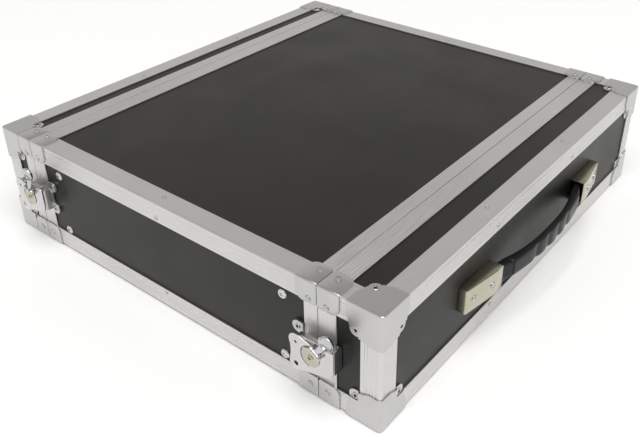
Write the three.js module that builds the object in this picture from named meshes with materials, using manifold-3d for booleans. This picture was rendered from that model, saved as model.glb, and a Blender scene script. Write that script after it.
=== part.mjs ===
// A two-unit, 19-inch equipment rack case with a removable lid at each end.
// Millimetres, +Z up, +X to the right seen from the front, front lid towards -Y.
// Pieces are drawn about the centre of the case and placed by the assembly group at the end.

import * as THREE from 'three';
import { mergeVertices } from 'three/addons/utils/BufferGeometryUtils.js';
import Module from 'manifold-3d';

const wasm = await Module();
wasm.setup();

// Driving dimensions

const INNER_WIDTH = 491.6; // 482.6 wide rack panels, with room to slide in
const INNER_HEIGHT = 98.1; // two 44.45 units, with room to slide in
const DEPTH = 495;
const FRONT_LID_DEPTH = 64.1;
const REAR_LID_DEPTH = 49.6;

const PANEL = 9; // laminated plywood
const GAP = 0.3; // between pieces that touch
const SHEET = 1.2; // aluminium extrusions
const PLATE = 0.9; // pressed steel caps and braces
const SKIN = GAP + SHEET + GAP + PLATE;

const WIDTH = INNER_WIDTH + 2 * (PANEL + SKIN);
const HEIGHT = INNER_HEIGHT + 2 * (PANEL + SKIN);

const LEG = 20.4; // leg of every angle extrusion
const NARROW_STRIP = 14.1; // tongued rim, along the seam
const WIDE_STRIP = 18.4; // grooved rim, along the seam
const SEAM_GAP = 0.3; // from the seam plane to each rim

const TONGUE_LENGTH = 5;
const TONGUE_INSET = 4.6; // from the rim's outer face
const TONGUE_THICKNESS = 3.8;
const GROOVE_DEPTH = 6;
const RIM_END = 1.5; // end wall of the tongued rim
const RIM_BLOCK = 7; // end block of the grooved rim
const RIM_LIP = 12; // inner flange, along Y

const BRACE_LENGTH = 21.9;
const REAR_LID_BRACE_LENGTH = 20; // shorter, because the shallow lid's corner caps are close
const BRACE_TOP = 24.3;
const BRACE_SIDE = 22.3;

const CAP_SIZE = 35;
const CAP_LOBE = 26.2; // rivet lobe centre, from both edges
const CAP_LOBE_RADIUS = 6.3;

const RAIL_SETBACK = 20; // seam to the rail's punched face
const RAIL_DEPTH = 38;
const RAIL_SHEET = 2;
const RACK_OPENING = 451; // clear width between rails
const RACK_HOLES = 465.1; // between the two rows of rail holes
const RACK_UNIT = 44.45;
const RAIL_HOLE = 9.4;

const HANDLE_HEIGHT = 25.2; // of the end caps
const HANDLE_PROUD = 22; // in front of the corner caps
const CAP_INNER_X = 88.2; // open end of a handle end cap
const CAP_OUTER_X = 140.9;
const CAP_INNER_PROUD = 12.6;
const CAP_OUTER_PROUD = 5.9;
const STRAP_HALF = 110;
const GRIP_HALF = 72;
const GRIP_HEIGHT = 18.6; // of the strap and the grip alike
const GRIP_ROUNDING = 2.2;
const FINGER_GROOVES = [33, 11, -11, -33];
const GROOVE_HALF = 8;
const GROOVE_DIP = 1.3;

// Disc centre from mid-height, and the wing's angle in degrees above the horizontal, towards the front
const FRONT_LATCH = { z: -3.2, wingAngle: 55, earedKeeper: false };
const REAR_LATCH = { z: 0.3, wingAngle: 70, earedKeeper: true };

// Half sizes of each layer, about the centre of the case

const cap = { x: WIDTH / 2, y: DEPTH / 2, z: HEIGHT / 2 };
const angle = inset(cap, PLATE + GAP);
const angleInner = inset(angle, SHEET);
const panel = inset(cap, SKIN);
const inner = inset(panel, PANEL);
const rimInner = inset(inner, SHEET);

const frontSeam = -cap.y + FRONT_LID_DEPTH;
const rearSeam = cap.y - REAR_LID_DEPTH;

function inset(half, by) {
  return { x: half.x - by, y: half.y - by, z: half.z - by };
}

// Materials

const laminate = { color: 0x35353a, roughness: 0.5, metalness: 0 };
const extrusion = { color: 0xc9c9c9, roughness: 0.35, metalness: 1 };
const zinc = { color: 0xc6c8cc, roughness: 0.22, metalness: 1 };
const chrome = { color: 0xd8dade, roughness: 0.08, metalness: 1 };
const champagne = { color: 0xc9c2ae, roughness: 0.25, metalness: 1 };
const blackSteel = { color: 0x2a2a2c, roughness: 0.5, metalness: 0.4 };
const blackPlastic = { color: 0x1b1b1d, roughness: 0.45, metalness: 0 };

// Geometry helpers

function solid(geometry) {
  const bare = geometry.clone();
  bare.deleteAttribute('normal');
  bare.deleteAttribute('uv');
  const merged = mergeVertices(bare, 1e-4);
  return new wasm.Manifold(new wasm.Mesh({
    numProp: 3,
    vertProperties: new Float32Array(merged.attributes.position.array),
    triVerts: new Uint32Array(merged.index.array),
  }));
}

function geometryOf(body) {
  const mesh = body.getMesh();
  const geometry = new THREE.BufferGeometry();
  geometry.setAttribute('position', new THREE.BufferAttribute(mesh.vertProperties, 3));
  geometry.setIndex(new THREE.BufferAttribute(mesh.triVerts, 1));
  return geometry;
}

function join(...geometries) {
  return geometryOf(geometries.map(solid).reduce((whole, piece) => whole.add(piece)));
}

function cut(geometry, ...tools) {
  return geometryOf(tools.map(solid).reduce((whole, tool) => whole.subtract(tool), solid(geometry)));
}

function box(x0, x1, y0, y1, z0, z1) {
  const geometry = new THREE.BoxGeometry(x1 - x0, y1 - y0, z1 - z0);
  return geometry.translate((x0 + x1) / 2, (y0 + y1) / 2, (z0 + z1) / 2);
}

// A mirrored copy, with its faces still pointing out.
function mirrored(geometry, sx, sy, sz) {
  const copy = geometry.index ? geometry.clone() : mergeVertices(geometry);
  copy.scale(sx, sy, sz);
  if (sx * sy * sz < 0) {
    const index = copy.index.array;
    for (let i = 0; i < index.length; i += 3) {
      [index[i], index[i + 1]] = [index[i + 1], index[i]];
    }
  }
  return copy;
}

function polygon(points) {
  return new THREE.Shape(points.map(([x, y]) => new THREE.Vector2(x, y)));
}

function extrude(shape, depth, curveSegments = 5) {
  return new THREE.ExtrudeGeometry(shape, { depth, bevelEnabled: false, curveSegments });
}

// An outline in X and Z, drawn out along Y.
function alongY(shape, y0, y1) {
  return extrude(shape, y1 - y0).rotateX(Math.PI / 2).translate(0, y1, 0);
}

// An outline in Y and Z, drawn out along X.
function alongX(shape, x0, x1) {
  const turn = new THREE.Matrix4().makeBasis(
    new THREE.Vector3(0, 1, 0), new THREE.Vector3(0, 0, 1), new THREE.Vector3(1, 0, 0));
  return extrude(shape, x1 - x0).applyMatrix4(turn).translate(x0, 0, 0);
}

function disc(x, y, radius, z0, z1, segments = 24) {
  const geometry = new THREE.CylinderGeometry(radius, radius, z1 - z0, segments);
  return geometry.rotateX(Math.PI / 2).translate(x, y, (z0 + z1) / 2);
}

// A rectangular frame in X and Z, from y0 to y1.
function ring(outer, hole, y0, y1) {
  const shape = rectangle(outer.x, outer.z);
  shape.holes.push(rectangle(hole.x, hole.z));
  return alongY(shape, y0, y1);
}

function rectangle(x, z) {
  return polygon([[-x, -z], [x, -z], [x, z], [-x, z]]);
}

// An L outline in the quarter of positive u and v, its corner at (u, v).
function angleOutline(u, v, legU, legV, sheet) {
  return polygon([
    [u, v], [u - legU, v], [u - legU, v - sheet],
    [u - sheet, v - sheet], [u - sheet, v - legV], [u, v - legV],
  ]);
}

const sides = [['left', -1], ['right', 1]];
const levels = [['bottom', -1], ['top', 1]];

// Rims, with their seam braces and the lids' short edge angles joined on

// The rim is drawn with its seam at y = 0 and its body towards +Y.
function rimAtSeam(tongued, braceLength = BRACE_LENGTH, edgeAngleEnd = 0) {
  const strip = tongued ? NARROW_STRIP : WIDE_STRIP;
  const start = SEAM_GAP;
  const pieces = [
    ring(angle, angleInner, start, start + strip),
    ring(angle, rimInner, start, start + (tongued ? RIM_END : RIM_BLOCK)),
    ring(inset(inner, GAP), rimInner, start, start + RIM_LIP),
  ];
  if (tongued) {
    const outside = inset(angle, TONGUE_INSET);
    pieces.push(ring(outside, inset(outside, TONGUE_THICKNESS), start - TONGUE_LENGTH, start + 1));
  }
  for (const [sx, sz] of [[-1, -1], [1, -1], [-1, 1], [1, 1]]) {
    pieces.push(mirrored(brace(start, strip, braceLength), sx, 1, sz));
    if (edgeAngleEnd) {
      const edge = angleOutline(angle.x, angle.z, LEG, LEG, SHEET);
      pieces.push(mirrored(alongY(edge, start + strip - 1, edgeAngleEnd), sx, 1, sz));
    }
  }
  const rim = join(...pieces);
  if (tongued) {
    return rim;
  }
  const outside = inset(angle, TONGUE_INSET - GAP);
  const inside = inset(outside, TONGUE_THICKNESS + 2 * GAP);
  return cut(rim, ring(outside, inside, start - 1, start + GROOVE_DEPTH));
}

function brace(start, strip, length) {
  const outline = angleOutline(cap.x, cap.z, BRACE_TOP, BRACE_SIDE, PLATE);
  const pad = angleOutline(cap.x, cap.z, BRACE_TOP, BRACE_SIDE, PLATE + GAP + 0.1);
  return join(
    alongY(outline, start, start + length),
    alongY(pad, start, start + strip - 0.5),
  );
}

// Corner caps

function capPlate() {
  const lobe = CAP_LOBE;
  const reach = CAP_LOBE_RADIUS;
  const shape = new THREE.Shape();
  shape.moveTo(0, 0);
  shape.lineTo(CAP_SIZE, 0);
  shape.lineTo(CAP_SIZE, 14);
  shape.quadraticCurveTo(CAP_SIZE - 3.2, 18, lobe + reach * 0.94, lobe - reach * 0.34);
  shape.absarc(lobe, lobe, reach, -0.35, Math.PI / 2 + 0.35, false);
  shape.quadraticCurveTo(18, CAP_SIZE - 3.2, 14, CAP_SIZE);
  shape.lineTo(0, CAP_SIZE);
  return extrude(shape, PLATE, 4);
}

// Drawn inwards from the corner at the origin, then mirrored out to its place.
// room is the length from the lid's face to the seam brace, which the cap is notched around.
function cornerCap(sx, sy, sz, room) {
  const flat = capPlate();
  const towardsX = flat.clone().applyMatrix4(new THREE.Matrix4().makeBasis(
    new THREE.Vector3(0, 1, 0), new THREE.Vector3(0, 0, 1), new THREE.Vector3(1, 0, 0)));
  const towardsY = flat.clone().applyMatrix4(new THREE.Matrix4().makeBasis(
    new THREE.Vector3(0, 0, 1), new THREE.Vector3(1, 0, 0), new THREE.Vector3(0, 1, 0)));
  const notch = box(-1, BRACE_TOP + GAP, room, room + CAP_SIZE, -1, BRACE_SIDE + GAP);
  const whole = cut(join(flat, towardsX, towardsY), notch);
  return mirrored(whole, -sx, -sy, -sz).translate(sx * cap.x, sy * cap.y, sz * cap.z);
}

// Rack rails

function rackRail(side, punchedY, inwards) {
  const outside = inner.x - GAP;
  const inside = RACK_OPENING / 2;
  const height = inner.z - 2;
  const y1 = punchedY + inwards * RAIL_SHEET;
  const y2 = punchedY + inwards * RAIL_DEPTH;
  const face = box(inside, outside, Math.min(punchedY, y1), Math.max(punchedY, y1), -height, height);
  const leg = box(outside - RAIL_SHEET, outside, Math.min(punchedY, y2), Math.max(punchedY, y2),
    -height, height);
  const holes = [];
  for (const unit of [-1, 0]) {
    for (const offset of [6.35, 22.225, 38.1]) {
      const z = unit * RACK_UNIT + offset;
      const x = RACK_HOLES / 2;
      const half = RAIL_HOLE / 2;
      holes.push(box(x - half, x + half, punchedY - 5, punchedY + 5, z - half, z + half));
    }
  }
  return mirrored(cut(join(face, leg), ...holes), side, 1, 1);
}

// Handle

// The wedge-shaped end cap is open to the lid and towards the grip.
function handleEndCap(side) {
  const back = -panel.y - GAP;
  const high = -cap.y - CAP_INNER_PROUD;
  const low = -cap.y - CAP_OUTER_PROUD;
  const outer = polygon([[CAP_INNER_X, back], [CAP_INNER_X, high], [CAP_INNER_X + 10, high],
    [CAP_OUTER_X, low], [CAP_OUTER_X, back]]);
  const sheet = 1.2;
  const hollow = polygon([[CAP_INNER_X - 5, back + 5], [CAP_INNER_X - 5, high + sheet],
    [CAP_INNER_X + 10, high + sheet], [CAP_OUTER_X - sheet, low + sheet], [CAP_OUTER_X - sheet, back + 5]]);
  const half = HANDLE_HEIGHT / 2;
  const block = extrude(outer, HANDLE_HEIGHT).translate(0, 0, -half);
  const inside = extrude(hollow, HANDLE_HEIGHT - 2 * sheet).translate(0, 0, sheet - half);
  return mirrored(cut(block, inside), side, 1, 1);
}

// How far the grip's outer and inner faces stand in front of the corner caps at x.
function gripOuter(x) {
  return HANDLE_PROUD - 6.5 * (Math.abs(x) / GRIP_HALF) ** 2;
}

function gripInner(x) {
  return 14 - 9.5 * (Math.abs(x) / GRIP_HALF) ** 2.6;
}

function grooveDip(x) {
  const nearest = Math.min(...FINGER_GROOVES.map((centre) => Math.abs(x - centre)));
  return nearest < GROOVE_HALF ? GROOVE_DIP * Math.cos((nearest / GROOVE_HALF) * Math.PI / 2) : 0;
}

// A flat strap that slopes up from the end caps to a thick arched grip with four finger grooves.
function handleGrip() {
  const core = GRIP_HALF - GRIP_ROUNDING;
  const steps = 52;
  const stations = Array.from({ length: steps + 1 }, (_, i) => -core + (i / steps) * 2 * core);
  const outer = stations.map((x) => [x, -cap.y - gripOuter(x) + grooveDip(x) + GRIP_ROUNDING]);
  const inner = stations.map((x) => [x, -cap.y - gripInner(x) - GRIP_ROUNDING]).reverse();
  const shape = new THREE.Shape([...inner, ...outer].map(([x, y]) => new THREE.Vector2(x, y)));
  const grip = new THREE.ExtrudeGeometry(shape, {
    depth: GRIP_HEIGHT - 2 * GRIP_ROUNDING, bevelEnabled: true, bevelThickness: GRIP_ROUNDING,
    bevelSize: GRIP_ROUNDING, bevelSegments: 2,
  }).translate(0, 0, GRIP_ROUNDING - GRIP_HEIGHT / 2);
  const proud = [[STRAP_HALF, 3.2], [CAP_INNER_X, 8], [GRIP_HALF - 2, 15]];
  const behind = [[GRIP_HALF - 8, 5.8], [CAP_INNER_X + 1, 1.2], [STRAP_HALF - 12, -0.8], [STRAP_HALF, -0.8]];
  const half = [...proud, ...behind].map(([x, out]) => [x, -cap.y - out]);
  const neck = extrude(polygon(half), GRIP_HEIGHT).translate(0, 0, -GRIP_HEIGHT / 2);
  return join(grip, neck, mirrored(neck, -1, 1, 1));
}

// Latches, drawn flat: x towards the front from the seam, y up, z out from the corner caps' face

const latch = {
  discX: 3.2,
  discRadius: 9.8,
  postRadius: 4,
  travel: 6,
  footLow: -SKIN + GAP,
  footHigh: 0.4,
  bridgeLow: 9.6,
  bridgeHigh: 10.9,
  plateLow: 11.2,
  plateHigh: 12.4,
  discLow: 12.7,
  discHigh: 14.2,
  pinZ: 15.2,
  pinReach: 12,
  wingLength: 30,
  wingWidth: 14.6,
};

function latchBase() {
  const sheet = 1.3;
  const half = 11;
  const ears = [];
  for (const y of [11.5, -13]) {
    ears.push(disc(-20.5, y, 5.8, latch.footLow, latch.footHigh, 16));
    ears.push(box(-20.5, -15, y - 5.8, y + 5.8, latch.footLow, latch.footHigh));
  }
  const foot = box(-19, -1.5, -half, half, -PLATE + 0.2, latch.footHigh);
  const rearFoot = box(-20, -15, -half, half, latch.footLow, latch.footHigh);
  const bridge = box(-14, 13.5, -half, half, latch.bridgeLow, latch.bridgeHigh);
  const walls = [-half, half - sheet].map(
    (y) => box(-14, -1.5, y, y + sheet, latch.footHigh - 0.2, latch.bridgeHigh));
  const post = disc(latch.discX, 0, latch.postRadius + GAP, latch.bridgeLow - 1, latch.bridgeHigh + 1);
  return cut(join(...ears, foot, rearFoot, bridge, ...walls), post);
}

// The draw plate: two rear lobes, straight top and front edges, a slot for the disc's post.
function latchDrawPlate() {
  const top = 16;
  const front = 26;
  const shape = new THREE.Shape();
  shape.moveTo(front, -6);
  shape.lineTo(front, top);
  shape.lineTo(-12, top);
  shape.absarc(-12.5, 8.5, 7.5, Math.PI / 2, Math.PI + 0.3, false);
  shape.quadraticCurveTo(-17, -2, -19.6, -12.6);
  shape.absarc(-12.5, -14.6, 7.4, Math.PI - 0.28, Math.PI * 1.5 + 0.5, false);
  shape.quadraticCurveTo(4, -16.5, 17, -14);
  shape.quadraticCurveTo(24, -13, front, -6);
  const thickness = latch.plateHigh - latch.plateLow;
  const plate = extrude(shape, thickness, 6).translate(0, 0, latch.plateLow);
  const topFlange = box(-12, 20, top - 1.2, top, 7.5, latch.plateHigh);
  const slot = latch.postRadius + GAP;
  return cut(
    join(plate, topFlange),
    disc(latch.discX, 0, slot, latch.plateLow - 1, latch.plateHigh + 1),
    disc(latch.discX - latch.travel, 0, slot, latch.plateLow - 1, latch.plateHigh + 1),
    box(latch.discX - latch.travel, latch.discX, -slot, slot, latch.plateLow - 1, latch.plateHigh + 1),
    disc(-12.8, 7.6, 1.5, latch.plateLow - 1, latch.plateHigh + 1, 8),
    disc(-13, -15.5, 2.4, latch.plateLow - 1, latch.plateHigh + 1, 8),
  );
}

// Turns a shape drawn along +x from the disc's centre to the wing's resting angle.
function turnedOnDisc(geometry, degrees) {
  return geometry.rotateZ(THREE.MathUtils.degToRad(degrees)).translate(latch.discX, 0, 0);
}

function latchDisc(degrees) {
  const lug = { inner: 4.4, outer: 6.6 };
  const pieces = [
    disc(0, 0, latch.discRadius, latch.discLow, latch.discHigh),
    disc(0, 0, latch.postRadius, latch.bridgeLow - 2, latch.discLow + 0.5),
    disc(0, 0, 2.6, latch.discHigh - 0.5, latch.discHigh + 0.8, 12),
  ];
  for (const side of [-1, 1]) {
    const y0 = Math.min(side * lug.inner, side * lug.outer);
    pieces.push(box(5, latch.pinReach + 1.4, y0, y0 + lug.outer - lug.inner, latch.discLow, 16.6));
  }
  return turnedOnDisc(join(...pieces), degrees);
}

function latchWing(degrees) {
  const half = latch.wingWidth / 2;
  const end = latch.pinReach + latch.wingLength - half;
  const root = 3.6; // half width at the pin
  const waist = 4.2;
  const shoulder = half - 1.1;
  const shape = new THREE.Shape();
  shape.moveTo(latch.pinReach, -root);
  shape.lineTo(latch.pinReach + 5, -waist);
  shape.quadraticCurveTo(end - 8, -5, end - 4, -shoulder);
  shape.absarc(end, 0, half, -2.1, 2.1, false);
  shape.quadraticCurveTo(end - 8, 5, latch.pinReach + 5, waist);
  shape.lineTo(latch.pinReach, root);
  const sheet = 1.5;
  const leaf = extrude(shape, sheet, 6).translate(0, 0, latch.pinZ - sheet / 2);
  const pin = 1.4;
  const barrel = new THREE.CylinderGeometry(pin, pin, 2 * root, 10).translate(latch.pinReach, 0, latch.pinZ);
  return turnedOnDisc(join(leaf, barrel), degrees);
}

// An upright lip on a foot. With ears, its rivets stand clear of it; without, they are behind the lip.
function latchKeeper(eared) {
  const half = 12; // of its height
  const foot = { inner: 19.2, outer: eared ? 27 : 23.8 };
  const lip = { x: 21, sheet: 1.3, roll: 1.6, top: 10.4 };
  const ear = { x: 26, y: 13, radius: 5.6, root: 20.5 };
  const outside = lip.x + lip.sheet;
  const pieces = [
    box(foot.inner, foot.outer, -half, half, latch.footLow, latch.footHigh),
    box(lip.x, outside, -half, half, latch.footHigh - 0.2, lip.top),
    box(lip.x - lip.roll, outside, -half, half, lip.top - 1.2, lip.top),
  ];
  for (const y of eared ? [ear.y, -ear.y] : []) {
    pieces.push(disc(ear.x, y, ear.radius, latch.footLow, latch.footHigh, 16));
    pieces.push(box(ear.root, ear.x, y - ear.radius, y + ear.radius, latch.footLow, latch.footHigh));
  }
  return join(...pieces);
}

// The latch frame on the left side of the case; the right side is its mirror image.
function placedLatch(geometry, side, seam, z) {
  const frame = new THREE.Matrix4().makeBasis(
    new THREE.Vector3(0, -1, 0), new THREE.Vector3(0, 0, 1), new THREE.Vector3(-1, 0, 0));
  const onLeft = geometry.applyMatrix4(frame).translate(-cap.x, seam, z);
  return side < 0 ? onLeft : mirrored(onLeft, -1, 1, 1);
}

// Assembly

function add(group, name, geometry, material) {
  const mesh = new THREE.Mesh(geometry, new THREE.MeshStandardMaterial(material));
  mesh.name = name;
  group.add(mesh);
}

function addBodyPanels(group) {
  const y0 = frontSeam + SEAM_GAP + RIM_END + GAP;
  const y1 = rearSeam - SEAM_GAP - RIM_BLOCK - GAP;
  for (const [level, sz] of levels) {
    const z = [sz * inner.z, sz * panel.z].sort((a, b) => a - b);
    add(group, `${level}_panel`, box(-panel.x, panel.x, y0, y1, z[0], z[1]), laminate);
  }
  for (const [side, sx] of sides) {
    const x = [sx * inner.x, sx * panel.x].sort((a, b) => a - b);
    const half = inner.z - GAP;
    add(group, `${side}_panel`, box(x[0], x[1], y0, y1, -half, half), laminate);
  }
}

function addBodyAngles(group) {
  const y0 = frontSeam + SEAM_GAP + NARROW_STRIP + GAP;
  const y1 = rearSeam - SEAM_GAP - WIDE_STRIP - GAP;
  const outline = angleOutline(angle.x, angle.z, LEG, LEG, SHEET);
  for (const [level, sz] of levels) {
    for (const [side, sx] of sides) {
      add(group, `${level}_${side}_edge_angle`, mirrored(alongY(outline, y0, y1), sx, 1, sz), extrusion);
    }
  }
}

function addRackRails(group) {
  for (const [side, sx] of sides) {
    add(group, `front_${side}_rack_rail`, rackRail(sx, frontSeam + RAIL_SETBACK, 1), blackSteel);
    add(group, `rear_${side}_rack_rail`, rackRail(sx, rearSeam - RAIL_SETBACK, -1), blackSteel);
  }
}

// Face panel, side frame, rim, face edge angles and corner caps. end is -1 at the front, 1 at the rear.
function addLid(group, name, end, seam, tongued, braceLength) {
  const rimDepth = tongued ? RIM_END : RIM_BLOCK;
  const frameStart = seam + end * (SEAM_GAP + rimDepth + GAP);
  const frameEnd = end * (panel.y - PANEL - GAP);
  const faceY = [end * (panel.y - PANEL), end * panel.y].sort((a, b) => a - b);
  const frameY = [frameStart, frameEnd].sort((a, b) => a - b);
  add(group, `${name}_face_panel`, box(-panel.x, panel.x, faceY[0], faceY[1], -panel.z, panel.z), laminate);
  add(group, `${name}_side_frame`, ring(panel, inner, frameY[0], frameY[1]), laminate);
  const edgeAngleEnd = angle.y - LEG - GAP - Math.abs(seam);
  const rim = mirrored(rimAtSeam(tongued, braceLength, edgeAngleEnd), 1, end, 1).translate(0, seam, 0);
  add(group, `${name}_rim`, rim, extrusion);
  const across = angleOutline(angle.y, angle.z, LEG, LEG, SHEET);
  for (const [level, sz] of levels) {
    const long = mirrored(alongX(across, -angle.x, angle.x), 1, end, sz);
    add(group, `${name}_${level}_face_angle`, long, extrusion);
  }
  const upright = angleOutline(angle.x, angle.y, LEG, LEG, SHEET);
  const capRoom = cap.y - Math.abs(seam) - SEAM_GAP - braceLength - GAP;
  const half = angle.z - LEG - GAP;
  for (const [side, sx] of sides) {
    const short = mirrored(extrude(upright, 2 * half).translate(0, 0, -half), sx, end, 1);
    add(group, `${name}_${side}_face_angle`, short, extrusion);
    for (const [level, sz] of levels) {
      add(group, `${name}_${level}_${side}_corner_cap`, cornerCap(sx, end, sz, capRoom), zinc);
    }
  }
}

function addHandle(group) {
  for (const [side, sx] of sides) {
    add(group, `handle_${side}_end_cap`, handleEndCap(sx), champagne);
  }
  add(group, 'handle_grip', handleGrip(), blackPlastic);
}

// The base stands behind the seam and the keeper in front of it, at both seams.
function addLatches(group, name, seam, { z, wingAngle, earedKeeper }) {
  for (const [side, sx] of sides) {
    const pieces = {
      base: [latchBase(), zinc],
      draw_plate: [latchDrawPlate(), zinc],
      disc: [latchDisc(wingAngle), champagne],
      wing: [latchWing(wingAngle), chrome],
      keeper: [latchKeeper(earedKeeper), zinc],
    };
    for (const [piece, [geometry, material]] of Object.entries(pieces)) {
      add(group, `${name}_${side}_latch_${piece}`, placedLatch(geometry, sx, seam, z), material);
    }
  }
}

const assembly = new THREE.Group();
assembly.position.set(0, HANDLE_PROUD / 2, HEIGHT / 2);
addBodyPanels(assembly);
addBodyAngles(assembly);
add(assembly, 'body_front_rim', rimAtSeam(true).translate(0, frontSeam, 0), extrusion);
add(assembly, 'body_rear_rim', mirrored(rimAtSeam(false), 1, -1, 1).translate(0, rearSeam, 0), extrusion);
addRackRails(assembly);
addLid(assembly, 'front_lid', -1, frontSeam, false, BRACE_LENGTH);
addLid(assembly, 'rear_lid', 1, rearSeam, true, REAR_LID_BRACE_LENGTH);
addHandle(assembly);
addLatches(assembly, 'front', frontSeam, FRONT_LATCH);
addLatches(assembly, 'rear', rearSeam, REAR_LATCH);

const group = new THREE.Group();
group.add(assembly);

export default group;
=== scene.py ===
import math

import bmesh
import bpy
from mathutils import Matrix, Vector


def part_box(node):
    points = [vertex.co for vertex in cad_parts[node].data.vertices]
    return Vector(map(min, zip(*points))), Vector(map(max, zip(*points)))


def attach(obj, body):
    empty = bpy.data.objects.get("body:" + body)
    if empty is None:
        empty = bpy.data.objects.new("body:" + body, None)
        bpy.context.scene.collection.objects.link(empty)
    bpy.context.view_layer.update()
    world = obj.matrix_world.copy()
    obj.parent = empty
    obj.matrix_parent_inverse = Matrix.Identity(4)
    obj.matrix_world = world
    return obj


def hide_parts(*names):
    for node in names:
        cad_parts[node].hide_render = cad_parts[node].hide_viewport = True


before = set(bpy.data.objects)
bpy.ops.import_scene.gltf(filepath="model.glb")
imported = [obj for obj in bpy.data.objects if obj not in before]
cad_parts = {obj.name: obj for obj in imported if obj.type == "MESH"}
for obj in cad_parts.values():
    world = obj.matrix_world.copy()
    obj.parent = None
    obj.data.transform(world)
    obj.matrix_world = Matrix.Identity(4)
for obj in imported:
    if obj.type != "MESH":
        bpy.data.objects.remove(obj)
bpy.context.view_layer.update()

# Shapes are drawn in millimetres about the centre of the case: +X right seen from the front,
# -Y the front lid, +Z up. The case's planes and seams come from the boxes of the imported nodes, and
# the details are set out from them.

MM = 0.001


def low(node):
    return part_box(node)[0] / MM


def high(node):
    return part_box(node)[1] / MM


CENTRE = (low("front_lid_bottom_left_corner_cap") + high("rear_lid_top_right_corner_cap")) / 2
CAP = high("rear_lid_top_right_corner_cap") - CENTRE
ANGLE = high("rear_lid_top_face_angle") - CENTRE
PANEL = high("rear_lid_face_panel") - CENTRE
INNER_Z = low("top_panel").z - CENTRE.z
INNER_INSET = ANGLE.z - INNER_Z

GAP = 0.3
SEAM_GAP = 0.3
FRONT_SEAM = high("front_lid_rim").y + SEAM_GAP - CENTRE.y
REAR_SEAM = high("body_rear_rim").y + SEAM_GAP - CENTRE.y
LATCH_Z = {end: (low(f"{end}_left_latch_keeper").z + high(f"{end}_left_latch_keeper").z) / 2 - CENTRE.z
           for end in ("front", "rear")}

SHEET = 1.2  # wall of the extrusions
PLATE = 0.9  # wall of the pressed parts
FITTED_PLATE = 1.18  # the same, drawn almost down to the extrusion under it
LEG = 20.4  # width of an angle's leg
NARROW_STRIP = 14.1  # outside of a tongued rim
WIDE_STRIP = 18.4  # outside of a grooved rim
BRACE_TOP = 24.3
BRACE_SIDE = 22.3
BRACE_LENGTH = 21.9
REAR_LID_BRACE_LENGTH = 20.0
CAP_SIZE = 35.0
CAP_RIVET = 26.2

SIDES = (("left", -1), ("right", 1))
LEVELS = (("bottom", -1), ("top", 1))
ENDS = (("front", -1, FRONT_SEAM), ("rear", 1, REAR_SEAM))


# Meshes

def edited(mesh, action):
    bm = bmesh.new()
    bm.from_mesh(mesh)
    action(bm)
    bm.to_mesh(mesh)
    bm.free()
    return mesh


def welded(mesh):
    def weld(bm):
        bmesh.ops.remove_doubles(bm, verts=bm.verts, dist=2e-4)
        bmesh.ops.recalc_face_normals(bm, faces=bm.faces)
    return edited(mesh, weld)


def mesh_of(vertices, faces):
    mesh = bpy.data.meshes.new("shape")
    mesh.from_pydata([tuple(v) for v in vertices], [], faces)
    return welded(mesh)


def moved(mesh, matrix):
    copy = mesh.copy()
    copy.transform(matrix)
    return welded(copy)


def shifted(mesh, x=0.0, y=0.0, z=0.0):
    return moved(mesh, Matrix.Translation((x, y, z)))


def joined(*meshes):
    bm = bmesh.new()
    for mesh in meshes:
        bm.from_mesh(mesh)
    whole = bpy.data.meshes.new("shape")
    bm.to_mesh(whole)
    bm.free()
    return whole


def evaluated(data, modifiers=()):
    """The mesh of a curve or mesh after these (type, settings) modifiers."""
    thing = bpy.data.objects.new("working", data)
    bpy.context.scene.collection.objects.link(thing)
    for kind, settings in modifiers:
        modifier = thing.modifiers.new(kind, kind)
        for key, value in settings.items():
            setattr(modifier, key, value)
    graph = bpy.context.evaluated_depsgraph_get()
    result = bpy.data.meshes.new_from_object(thing.evaluated_get(graph))
    bpy.data.objects.remove(thing)
    return result


def combined(mesh, operation, tools):
    for tool in tools:
        other = bpy.data.objects.new("tool", tool)
        bpy.context.scene.collection.objects.link(other)
        settings = {"operation": operation, "object": other, "solver": "MANIFOLD"}
        mesh = evaluated(mesh, [("BOOLEAN", settings)])
        bpy.data.objects.remove(other)
    return mesh


def cut(mesh, *tools):
    return combined(mesh, "DIFFERENCE", tools)


def united(mesh, *tools):
    return combined(mesh, "UNION", tools)


def prism(outline, z0, z1, place=None):
    """An outline in X and Y, drawn out from z0 to z1, then placed by a function of a point."""
    n = len(outline)
    points = [(x, y, z) for z in (z0, z1) for x, y in outline]
    faces = [list(range(n)), list(range(n, 2 * n))]
    faces += [[i, (i + 1) % n, n + (i + 1) % n, n + i] for i in range(n)]
    return mesh_of([place(p) for p in points] if place else points, faces)


def block(x0, x1, y0, y1, z0, z1):
    return prism([(x0, y0), (x1, y0), (x1, y1), (x0, y1)], z0, z1)


def arc(cx, cy, radius, start, end, steps=8):
    angles = [math.radians(start + (end - start) * i / steps) for i in range(steps + 1)]
    return [(cx + radius * math.cos(a), cy + radius * math.sin(a)) for a in angles]


def circle(cx, cy, radius, steps=32):
    return arc(cx, cy, radius, 0, 360, steps)[:-1]


def curve_through(p0, p1, p2, steps=6):
    """A quadratic curve from p0 to p2 that bends towards p1, without its first point."""
    points = []
    for i in range(1, steps + 1):
        t = i / steps
        points.append(tuple((1 - t) ** 2 * a + 2 * t * (1 - t) * b + t * t * c
                            for a, b, c in zip(p0, p1, p2)))
    return points


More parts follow.
